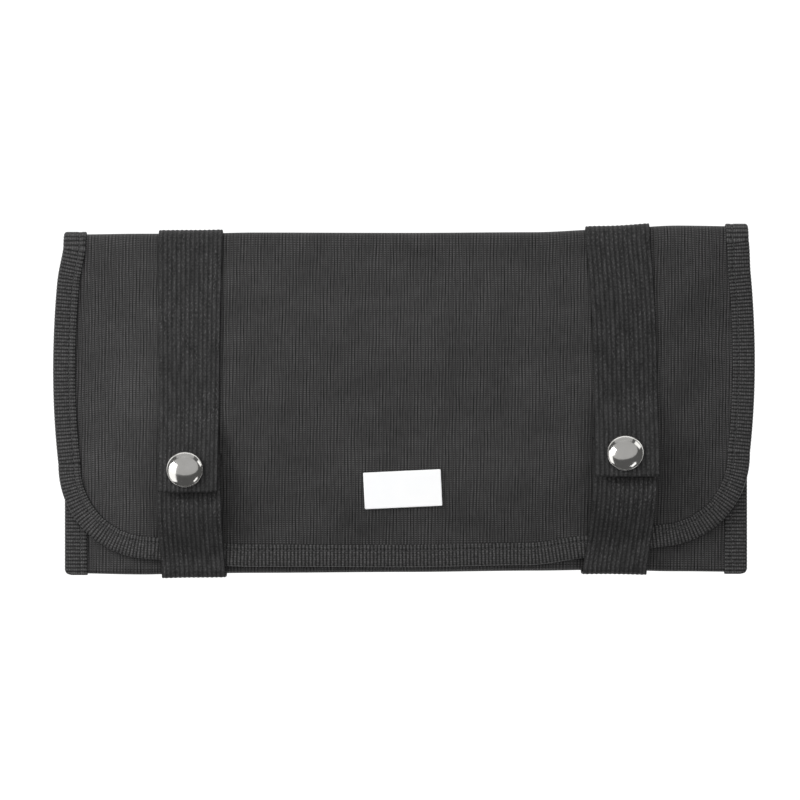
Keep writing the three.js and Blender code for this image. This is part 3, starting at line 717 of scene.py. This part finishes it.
def strap_runs(row, offset):
    """A strap from its hidden lower end, round the back and over the top fold, to its upper end."""
    seat = snap_seat(row)
    half_width = BODY_WIDTH / 2
    top_x = row["top"] * half_width + offset
    bottom_x = row["bottom"] * half_width + offset
    outer_y = bottom_line(bottom_x) - GAP - STRAP / 2

    def rest(x, y):
        return flap_z(x, y) + WALL / 2 + GAP + STRAP / 2

    def lower_x(y):
        share = (seat["y"] - y) / (seat["y"] - outer_y)
        return mix(row["lower"] * half_width, row["bottom"] * half_width, share**2) + offset

    def lower_z(x, y):
        bound = top_line(x) - FLAP_LENGTH + shorter_by(x) + TAPE_WIDTH
        on_tape = (TAPE + GAP) * ease((bound - y) / STRAP_STEP + 1)
        on_snap = ease((y - seat["y"] + SNAP_FLAT) / STRAP_REACH + 1)
        return mix(rest(x, y) + on_tape, seat_z(seat, x, y) + lower_height * seat["stretch"], on_snap)

    def upper_x(y):
        share = np.maximum(0, (y - seat["y"]) / (turn_centre(top_x) - seat["y"]))
        centre = mix(row["upper"], row["top"], share**3) * half_width
        return centre + offset * mix(row["slim"], 1.0, share)

    def upper_z(x, y):
        on_snap = ease((seat["y"] + STRAP_RISE - y) / (STRAP_RISE - SNAP_FLAT))
        return mix(rest(x, y), seat_z(seat, x, y) + upper_height * seat["stretch"], on_snap)

    over_edge = outer_y + STRAP_TURN
    high_z = lower_z(lower_x(over_edge), over_edge)
    low_radius = fold_radius(bottom_x) + WALL / 2 + GAP + STRAP / 2
    turn_reach = turn_radius + WALL / 2 + GAP + STRAP / 2
    turn_y = turn_centre(top_x)
    back_y = mix(outer_y + low_radius, turn_y, np.linspace(0, 1, STRAP_STEPS["back"]))
    back_x = mix(bottom_x, top_x, (back_y - outer_y) / (top_line(top_x) - outer_y))
    return [
        strap_run(lower_x, lower_z, seat["y"] + STRAP_LOWER_END, over_edge, STRAP_STEPS["lower"]),
        quarter_turn(lower_x(over_edge), over_edge, high_z - STRAP_TURN, STRAP_TURN, math.pi / 2, True),
        quarter_turn(bottom_x, outer_y + low_radius, STRAP / 2 + low_radius, low_radius, math.pi, False),
        surface_run(back_x, back_y, lambda a, b: STRAP / 2 + 0 * a * b, -1),
        half_turn(top_x, turn_y, back_z + turn_radius, turn_reach, -math.pi / 2,
                  STRAP_STEPS["turn"]),
        strap_run(upper_x, upper_z, turn_y, seat["y"] - STRAP_TAIL, STRAP_STEPS["upper"]),
    ]


def strap_sections(middle, normal):
    """The webbing's outline at each step, ribbed on both faces and with rounded edges."""
    across = np.linspace(0, STRAP_RIBS, middle.shape[1])
    rib = STRAP_RIB_HEIGHT * (0.5 + 0.5 * np.cos(TAU * (across + 0.5)))
    rib[[0, -1]] = STRAP_EDGE
    face = (STRAP / 2 - rib)[None, :, None]
    return np.concatenate([middle + normal * face, (middle - normal * face)[:, ::-1]], 1)


def make_strap(row):
    offset = np.linspace(-STRAP_WIDTH / 2, STRAP_WIDTH / 2, STRAP_RIBS * STRAP_STEPS["rib"] + 1)
    runs = strap_runs(row, offset[:, None])
    middle = np.concatenate([run[0] for run in runs], 1).transpose(1, 0, 2)
    normal = np.concatenate([run[1] for run in runs], 1).transpose(1, 0, 2)
    sections = strap_sections(middle, normal)
    step = np.linalg.norm(np.diff(middle[:, 0], axis=0), axis=-1)
    along = np.concatenate([[0], np.cumsum(step)])
    uv = np.stack(np.meshgrid(np.concatenate([offset, offset[::-1]]), along), -1)
    made = swept_mesh("strap_" + row["side"] + "_elastic", sections[:, ::-1], uv[:, ::-1])
    return made, float(along[-1])


# Metal

def stood_on(slope_x, slope_y):
    """The turn that stands a piece up on a plane with these slopes."""
    axis = Vector((-slope_x, -slope_y, 1)).normalized()
    return np.array(Vector((0, 0, 1)).rotation_difference(axis).to_matrix())


def snap_place(row):
    """Where a snap stands on the flap, and how it is turned."""
    seat = snap_seat(row)
    return np.array([seat["x"], seat["y"], seat["z"]]), stood_on(seat["sx"], seat["sy"])


def turned(name, profile, place, steps):
    """A turned piece from its closed outline of radius and height, stood up at a snap."""
    origin, turn = place
    angle = np.arange(steps) * TAU / steps
    points, rings = [], []
    for radius, height in profile:
        if radius < ON_AXIS:
            rings.append([len(points)])
            points.append((0.0, 0.0, height))
            continue
        rings.append(list(range(len(points), len(points) + steps)))
        points += [(radius * math.cos(a), radius * math.sin(a), height) for a in angle]
    faces = []
    for low, high in zip(rings, rings[1:]):
        for k in range(steps):
            after = (k + 1) % steps
            if len(low) == 1 and len(high) > 1:
                faces.append([low[0], high[after], high[k]])
            elif len(high) == 1 and len(low) > 1:
                faces.append([low[k], low[after], high[0]])
            elif len(low) > 1:
                faces.append([low[k], low[after], high[after], high[k]])
    local = np.array(points)
    return add_mesh(name, origin + local @ turn.T, faces, local[:, :2])


def rounded(profile, radius):
    """An outline with its corners rounded. Points on the axis stay."""
    made = []
    count = len(profile)
    for i, (r, h) in enumerate(profile):
        if r < ON_AXIS:
            made.append((r, h))
            continue
        here = np.array([r, h])
        before = np.array(profile[i - 1]) - here
        after = np.array(profile[(i + 1) % count]) - here
        cut = min(radius, np.linalg.norm(before) / CORNER_CUT, np.linalg.norm(after) / CORNER_CUT)
        a = here + before / np.linalg.norm(before) * cut
        b = here + after / np.linalg.norm(after) * cut
        for k in range(METAL_STEPS["corner"] + 1):
            t = k / METAL_STEPS["corner"]
            made.append(tuple((1 - t) ** 2 * a + 2 * t * (1 - t) * here + t * t * b))
    return made


def rivet_outline():
    head = GAP + RIVET
    outline = [(0, GAP), (RIVET_RADIUS, GAP), (RIVET_RADIUS, head), (SHANK_RADIUS, head),
               (SHANK_RADIUS, stud_tip), (0, stud_tip)]
    return rounded(outline, METAL_ROUND)


def stud_outline():
    """A flange and a nub, with a bore from below for the rivet's shank."""
    top = stud_tip + NUB
    neck = NUB_RADIUS - GAP / 2
    outer = rounded([(shank_bore, stud_base), (STUD_RADIUS, stud_base), (STUD_RADIUS, stud_tip),
                     (neck, stud_tip), (NUB_RADIUS, top - NUB / 3), (neck, top)], STUD_ROUND)
    return outer + [(0, top), (0, stud_tip + GAP), (shank_bore, stud_tip + GAP), outer[0]]


def socket_outline():
    """A ring round the stud's nub, under a plate that the cap's shank goes through."""
    base = stud_tip + GAP
    ceiling = base + NUB
    plate = ceiling + SOCKET_PLATE
    hole = NUB_RADIUS + GAP
    outline = rounded([(hole, base), (SOCKET_RADIUS, base), (SOCKET_RADIUS, plate),
                       (shank_bore, plate), (shank_bore, ceiling), (hole, ceiling)], METAL_ROUND)
    return outline + outline[:1]


def angles(first, last, step):
    """From whole degrees to radians, the last one included."""
    return [math.radians(a) for a in range(first, last + 1, step)]


def cap_outline():
    """A shank, a rolled rim, a tucked neck and a domed top."""
    rim_top = cap_base + CAP_RIM
    neck_top = rim_top + CAP_NECK
    shank = cap_base - GAP - STRAP - GAP - SOCKET_PLATE / 2
    outline = [(0, shank), (SHANK_RADIUS, shank), (SHANK_RADIUS, cap_base)]
    outline += [(CAP_RIM_RADIUS - CAP_RIM / 2 * (1 - math.cos(a)),
                 cap_base + CAP_RIM / 2 * (1 + math.sin(a))) for a in angles(-90, 90, 15)]
    outline.append((CAP_RADIUS - CAP_TUCK, rim_top))
    outline += [(CAP_RADIUS - CAP_TUCK * (1 - math.cos(a)),
                 neck_top + CAP_NECK / 2 * math.sin(a)) for a in angles(-90, -15, 15)]
    outline += [(CAP_RADIUS * math.cos(a),
                 neck_top + CAP_DOME * math.sin(a) ** CAP_SQUARE) for a in angles(0, 84, 4)]
    return outline + [(0, neck_top + CAP_DOME)]


def make_snap(row):
    place = snap_place(row)
    outlines = [
        # name, outline, steps round it
        ("rivet_", rivet_outline(), METAL_STEPS["round"]),
        ("stud_", stud_outline(), METAL_STEPS["round"]),
        ("socket_", socket_outline(), METAL_STEPS["round"]),
        ("cap_", cap_outline(), METAL_STEPS["cap"]),
    ]
    for name, outline, steps in outlines:
        piece = turned(name + row["side"], outline, place, steps)
        carry(piece, "nickel", nickel, "snap_" + name + row["side"])


def plate_place():
    """Where the plate lies on the flap, over its highest points there, and how it is turned."""
    x, y = PLATE_X, float(top_line(PLATE_X)) - FLAP_LENGTH + PLATE_ABOVE_EDGE
    reach_x, reach_y = PLATE_WIDTH / 2, PLATE_HEIGHT / 2

    def outer(dx, dy):
        return float(flap_z(np.array(x + dx), np.array(y + dy))) + WALL / 2

    sx = (outer(reach_x, 0) - outer(-reach_x, 0)) / PLATE_WIDTH
    sy = (outer(0, reach_y) - outer(0, -reach_y)) / PLATE_HEIGHT
    z = max(outer(dx, dy) - sx * dx - sy * dy
            for dx in (-reach_x, 0, reach_x) for dy in (-reach_y, 0, reach_y))
    return np.array([x, y, z]), stood_on(sx, sy)


def plate_outline(reach):
    corners = []
    for k, way in enumerate(((1, 1), (-1, 1), (-1, -1), (1, -1))):
        for step in range(METAL_STEPS["corner"] + 1):
            angle = math.pi / 2 * (k + step / METAL_STEPS["corner"])
            round_it = PLATE_CORNER * np.array([math.cos(angle), math.sin(angle)])
            corners.append(way * (reach - PLATE_CORNER) + round_it)
    return np.array(corners)


def make_plate():
    reach = np.array([PLATE_WIDTH, PLATE_HEIGHT]) / 2
    outline = plate_outline(reach)
    layers = []
    for inset, height in PLATE_RINGS:
        inner = outline * (1 - inset / reach)
        layers.append(np.column_stack([inner, np.full(len(inner), GAP + height)]))
    local = np.concatenate(layers)
    c, s = math.cos(PLATE_TURN), math.sin(PLATE_TURN)
    local[:, :2] = local[:, :2] @ np.array([[c, s], [-s, c]])
    origin, turn = plate_place()
    faces = tube_faces(len(PLATE_RINGS), len(outline))
    piece = tube_mesh("plate", origin + local @ turn.T, faces, local[:, :2])
    carry(piece, "plate_metal", plate_metal, "name_plate")


# Materials

COLOURS = {
    # name: darkest, lightest
    "nylon": ((0.0, 0.0, 0.0), (0.078, 0.0765, 0.0770)),
    "tape": ((0.006, 0.006, 0.006), (0.083, 0.082, 0.082)),
    "elastic": ((0.006, 0.006, 0.006), (0.128, 0.126, 0.128)),
    "thread": ((0.02, 0.02, 0.02), (0.055, 0.055, 0.055)),
    "nickel": ((0.68, 0.67, 0.64), (0.80, 0.79, 0.77)),
    # plate: near white, a painted reflection of the light over it, on a pale metal
    "plate": ((0.97, 0.98, 0.99), (1.0, 1.0, 1.0)),
}

PATTERNS = {
    # name: how many go to the millimetre across and along the cloth
    "nylon_wander": (0.12, 0.05),
    "nylon_wide": (0.85, 0.03),
    "nylon_narrow": (1.02, -0.03),
    "nylon_end": (0.72, 0),
    "nylon_pick": (0, 1.15),
    "nylon_broken": (0.9, 0.25),
    "tape_rib": (1 / RIB_PITCH, 0),
    "tape_yarn": (0, 1.05),
    "tape_bright": (0.75, 0.6),
    "elastic_rib": (STRAP_RIBS / STRAP_WIDTH, 0),
    "elastic_pick": (0, 0.9),
    "elastic_broken": (0.5, 0.12),
    "elastic_stroke": (1.7, 0.9),
}
NYLON_WANDER = 0.4  # how far its lines stray, in millimetres

SPECKLES = {
    # name: how many go to the metre, detail, lowest, highest
    "nylon_patch": (34, 4, 0.0, 1.0),
    "nylon_weight": (70, 3, 0.6, 1.4),
    "nylon_rough": (60, 3, 0.55, 0.70),
    "tape_fleck": (1500, 2, 0.0, 1.0),
    "elastic_fleck": (1300, 2, 0.0, 1.0),
    "elastic_patch": (70, 2, 0.2, 1.0),
    "thread_fleck": (1500, 2, 0.0, 1.0),
    "nickel_tint": (90, 3, 0.0, 1.0),
    "nickel_rough": (420, 4, 0.10, 0.15),
    "plate_tint": (60, 3, 0.0, 1.0),
    "plate_rough": (60, 2, 0.30, 0.33),
}
NYLON_DENTS = (120, 4)  # how many go to the metre, and detail
NICKEL_DENTS = (700, 2)
NOISE_ROUGHNESS = 0.55
NOISE_LOW = 0.3  # most of a noise lies between these two
NOISE_HIGH = 0.7

RELIEFS = {
    # name: height in metres, strength
    "nylon_dents": (0.0004, 0.35),
    "nylon_weave": (0.00012, 0.8),
    "tape": (0.0001, 0.7),
    "elastic": (0.0001, 0.7),
    "thread": (0.00005, 0.5),
    "nickel": (0.00001, 0.25),
}


class Look:
    """A material being built, with short calls for its nodes."""

    def __init__(self, name, **settings):
        self.material = bpy.data.materials.new(name)
        self.material.use_nodes = True
        self.tree = self.material.node_tree
        self.shader = self.tree.nodes["Principled BSDF"]
        for socket, value in settings.items():
            self.shader.inputs[socket.replace("_", " ")].default_value = value

    def node(self, kind, **settings):
        made = self.tree.nodes.new("ShaderNode" + kind)
        for name, value in settings.items():
            setattr(made, name, value)
        return made

    def feed(self, socket, value):
        if isinstance(value, (int, float, tuple)):
            socket.default_value = value
        else:
            self.tree.links.new(value, socket)

    def math(self, operation, a, b=0.0):
        made = self.node("Math", operation=operation)
        self.feed(made.inputs[0], a)
        self.feed(made.inputs[1], b)
        return made.outputs[0]

    def stripes(self, u, v, name):
        """A pattern of stripes, from 0 to 1."""
        across, along = PATTERNS[name]
        turns = self.math("ADD", self.math("MULTIPLY", u, across), self.math("MULTIPLY", v, along))
        return self.half_up(self.math("COSINE", self.math("MULTIPLY", turns, TAU)))

    def half_up(self, value):
        return self.math("ADD", self.math("MULTIPLY", value, 0.5), 0.5)

    def cloth_place(self):
        """The two lengths along the cloth, in millimetres."""
        place = self.node("UVMap", uv_map="cloth")
        split = self.node("SeparateXYZ")
        self.tree.links.new(place.outputs[0], split.inputs[0])
        return split.outputs[0], split.outputs[1]

    def noise(self, scale, detail):
        """Noise by place on the object, with scale in bumps to the metre."""
        place = self.node("TexCoord")
        made = self.node("TexNoise")
        self.tree.links.new(place.outputs["Object"], made.inputs["Vector"])
        made.inputs["Scale"].default_value = scale
        made.inputs["Detail"].default_value = detail
        made.inputs["Roughness"].default_value = NOISE_ROUGHNESS
        return made.outputs["Fac"]

    def speckle(self, name):
        scale, detail, low, high = SPECKLES[name]
        return self.spread(self.noise(scale, detail), low, high)

    def streaks(self, u, v, name):
        """A pattern of noise, drawn out along the cloth, from 0 to 1."""
        across, along = PATTERNS[name]
        place = self.node("CombineXYZ")
        self.feed(place.inputs[0], self.math("MULTIPLY", u, across))
        self.feed(place.inputs[1], self.math("MULTIPLY", v, along))
        made = self.node("TexNoise")
        self.tree.links.new(place.outputs[0], made.inputs["Vector"])
        made.inputs["Scale"].default_value = 1.0
        made.inputs["Detail"].default_value = 1.0
        return self.spread(made.outputs["Fac"], 0.0, 1.0)

    def mixed(self, *parts):
        """The sum of values, each times its weight."""
        total = 0.0
        for value, weight in parts:
            total = self.math("ADD", self.math("MULTIPLY", value, weight), total)
        return total

    def spread(self, value, low, high):
        made = self.node("MapRange")
        self.feed(made.inputs["Value"], value)
        made.inputs["From Min"].default_value = NOISE_LOW
        made.inputs["From Max"].default_value = NOISE_HIGH
        made.inputs["To Min"].default_value = low
        made.inputs["To Max"].default_value = high
        return made.outputs[0]

    def colour(self, name, share):
        dark, light = COLOURS[name]
        made = self.node("Mix", data_type="RGBA")
        self.feed(made.inputs["Factor"], share)
        made.inputs["A"].default_value = (*dark, 1)
        made.inputs["B"].default_value = (*light, 1)
        self.tree.links.new(made.outputs["Result"], self.shader.inputs["Base Color"])

    def bump(self, name, height, after=None):
        distance, strength = RELIEFS[name]
        made = self.node("Bump")
        made.inputs["Distance"].default_value = distance
        made.inputs["Strength"].default_value = strength
        self.feed(made.inputs["Height"], height)
        if after is not None:
            self.tree.links.new(after, made.inputs["Normal"])
        self.tree.links.new(made.outputs[0], self.shader.inputs["Normal"])
        return made.outputs[0]

    def roughness(self, value):
        self.tree.links.new(value, self.shader.inputs["Roughness"])


def make_nylon():
    """Plain-woven nylon, whose paired yarns show as fine broken lines up and down."""
    look = Look("nylon_weave", Roughness=0.6, Specular_IOR_Level=0.22)
    u, v = look.cloth_place()
    wander = look.streaks(u, v, "nylon_wander")
    u = look.math("ADD", u, look.math("MULTIPLY", wander, NYLON_WANDER))
    wide = look.stripes(u, v, "nylon_wide")
    narrow = look.stripes(u, v, "nylon_narrow")
    picks = look.math("MULTIPLY", look.stripes(u, v, "nylon_end"), look.stripes(u, v, "nylon_pick"))
    broken = look.streaks(u, v, "nylon_broken")
    patch = look.speckle("nylon_patch")
    dots = look.math("MULTIPLY", picks, look.speckle("nylon_weight"))
    share = look.mixed((wide, 0.20), (narrow, 0.17), (dots, 0.54), (broken, 0.10), (patch, 0.06))
    look.colour("nylon", share)
    look.roughness(look.speckle("nylon_rough"))
    dents = look.bump("nylon_dents", look.noise(*NYLON_DENTS))
    look.bump("nylon_weave", share, dents)
    return look.material


def make_tape_look():
    """Ribbed tape, with specks of light where the rib's yarns cross."""
    look = Look("binding_rib", Roughness=0.55, Specular_IOR_Level=0.25)
    u, v = look.cloth_place()
    # Painted light: the rib crests are painted lighter, and the specks and streaks on them are painted
    # highlights.
    rib = look.math("SUBTRACT", 1.0, look.stripes(u, v, "tape_rib"))
    yarn = look.stripes(u, v, "tape_yarn")
    bright = look.streaks(u, v, "tape_bright")
    fleck = look.speckle("tape_fleck")
    spark = look.math("MULTIPLY", yarn, fleck)
    rib_glint = look.math("MULTIPLY", rib, look.mixed((spark, 2.4), (bright, 0.8), (fleck, 0.5)))
    share = look.mixed((rib, 0.12), (rib_glint, 0.38), (fleck, 0.08))
    look.colour("tape", share)
    look.bump("tape", look.mixed((yarn, 0.6), (fleck, 0.4)))
    return look.material


def make_elastic():
    """Elastic webbing, ribbed along its length, each rib broken by its picks."""
    look = Look("elastic_webbing", Roughness=0.65, Specular_IOR_Level=0.22)
    u, v = look.cloth_place()
    wave = look.stripes(look.math("ADD", u, STRAP_WIDTH / 2), v, "elastic_rib")
    rib = look.math("POWER", look.math("SUBTRACT", 1.0, wave), 0.5)
    pick = look.stripes(u, v, "elastic_pick")
    broken = look.streaks(u, v, "elastic_broken")
    fleck = look.speckle("elastic_fleck")
    # Painted light: lighter lines along the ribs, broken by picks and flecks.
    lit = look.math("MULTIPLY", rib, look.mixed((broken, 0.6), (pick, 0.25), (fleck, 0.5)))
    # Painted highlights: bright streaks, in patches, on the ribs.
    patch = look.speckle("elastic_patch")
    stroke = look.math("POWER", look.streaks(u, v, "elastic_stroke"), 4.0)
    spark = look.math("MULTIPLY", look.math("MULTIPLY", stroke, patch), rib)
    share = look.mixed((lit, 0.19), (broken, 0.03), (fleck, 0.03), (spark, 0.50))
    look.colour("elastic", share)
    look.bump("elastic", look.mixed((pick, 0.7), (fleck, 0.5)))
    return look.material


def make_thread():
    look = Look("seam_thread", Roughness=0.6, Specular_IOR_Level=0.4)
    fleck = look.speckle("thread_fleck")
    look.colour("thread", fleck)
    look.bump("thread", fleck)
    return look.material


def make_nickel():
    look = Look("nickel_plate", Metallic=1.0)
    look.colour("nickel", look.speckle("nickel_tint"))
    look.roughness(look.speckle("nickel_rough"))
    look.bump("nickel", look.noise(*NICKEL_DENTS))
    return look.material


def make_plate_metal():
    # The near-white colour is a painted reflection of the bright light over the plate, on a pale metal
    # that is barely metallic.
    look = Look("plate_painted_reflection", Metallic=0.1)
    look.colour("plate", look.speckle("plate_tint"))
    look.roughness(look.speckle("plate_rough"))
    return look.material


def carry(piece, slot, material, *nodes):
    """Gives a piece its material and lets it stand for nodes. The slot is not used."""
    piece.data.materials.append(material)
    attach(piece, "root")
    if nodes:
        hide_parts(*nodes)


# Stage

LIGHTS = [
    # name, shape, place, aim, width, height, watts, whether the metal shows it
    ("key", "RECTANGLE", (-1.3, 0.85, 1.1), (0, 0, 0), 0.7, 0.7, 13.5, True),
    ("sky", "RECTANGLE", (0.05, 0.05, 2.2), (0.05, 0.05, 0), 3.0, 3.0, 40.0, False),
    ("canopy", "ELLIPSE", (-0.1, 0.9, 0.7), (-0.1, 0.9, 0), 2.1, 1.85, 3.75, True),
    ("back_card", "RECTANGLE", (-0.1, 1.75, 0.35), (-0.1, 0, 0.35), 1.8, 0.7, 1.55, True),
    ("near_left", "RECTANGLE", (-0.36, 0.0, 0.25), (0, 0, 0), 0.46, 0.24, 0.45, True),
    ("right_card", "RECTANGLE", (0.49, 0.41, 0.18), (0.09, 0, 0), 0.25, 0.2, 0.2, True),
    ("front_card", "RECTANGLE", (0.4, -0.27, 0.48), (0.09, 0, 0), 0.25, 0.13, 0.15, True),
]
WORLD_LIGHT = 0.1
FLOOR_REACH = 3.0
FLOOR_LIGHT = 1.1

# The lens and sensor are in millimetres. The width that the picture takes in, the height at which
# it does, and the camera's place are in metres.
LENS = 180
SENSOR = 36
FRAME_WIDTH = 0.320
FRAME_HEIGHT = 0.012
CAMERA_X = -0.0016
CAMERA_Y = 0.0002


def area_light(name, shape, place, aim, width, height, power, in_metal):
    """A flat light, which the camera itself doesn't see."""
    data = bpy.data.lights.new(name, "AREA")
    data.shape = shape
    data.size = width
    data.size_y = height
    data.energy = power
    light = bpy.data.objects.new(name, data)
    light.location = place
    light.rotation_mode = "QUATERNION"
    light.rotation_quaternion = (Vector(aim) - Vector(place)).to_track_quat("-Z", "Y")
    light.visible_camera = False
    light.visible_glossy = in_metal
    bpy.context.collection.objects.link(light)


def make_stage():
    mesh = bpy.data.meshes.new("floor")
    corners = [(x * FLOOR_REACH, y * FLOOR_REACH, 0) for x, y in ((-1, -1), (1, -1), (1, 1), (-1, 1))]
    mesh.from_pydata(corners, [], [(0, 1, 2, 3)])
    floor = bpy.data.objects.new("floor", mesh)
    bpy.context.collection.objects.link(floor)
    look = Look("floor", Emission_Strength=FLOOR_LIGHT)
    look.shader.inputs["Base Color"].default_value = (0, 0, 0, 1)
    look.shader.inputs["Emission Color"].default_value = (1, 1, 1, 1)
    mesh.materials.append(look.material)
    for row in LIGHTS:
        area_light(*row)
    world = bpy.data.worlds.new("studio")
    world.use_nodes = True
    world.node_tree.nodes["Background"].inputs["Color"].default_value = (1, 1, 1, 1)
    world.node_tree.nodes["Background"].inputs["Strength"].default_value = WORLD_LIGHT
    bpy.context.scene.world = world
    bpy.context.scene.view_settings.view_transform = "Standard"


def make_camera():
    data = bpy.data.cameras.new("camera")
    data.lens = LENS
    data.sensor_width = SENSOR
    camera = bpy.data.objects.new("camera", data)
    distance = FRAME_WIDTH * data.lens / data.sensor_width
    camera.location = (CAMERA_X, CAMERA_Y, distance + FRAME_HEIGHT)
    camera.rotation_euler = (0, 0, 0)
    bpy.context.collection.objects.link(camera)
    bpy.context.scene.camera = camera


nylon = make_nylon()
tape_look = make_tape_look()
elastic = make_elastic()
thread = make_thread()
nickel = make_nickel()
plate_metal = make_plate_metal()

cloth, cloth_along = make_cloth()
carry(cloth, "nylon", nylon, "shell")
binding, binding_path = make_binding()
carry(binding, "binding_tape", tape_look, "edge_binding")
stitches = make_stitches()
carry(stitches, "binding_tape", thread)
for strap_row in STRAPS:
    strap, strap_length = make_strap(strap_row)
    carry(strap, "elastic", elastic, "strap_" + strap_row["side"])
    make_snap(strap_row)
make_plate()

make_stage()
make_camera()
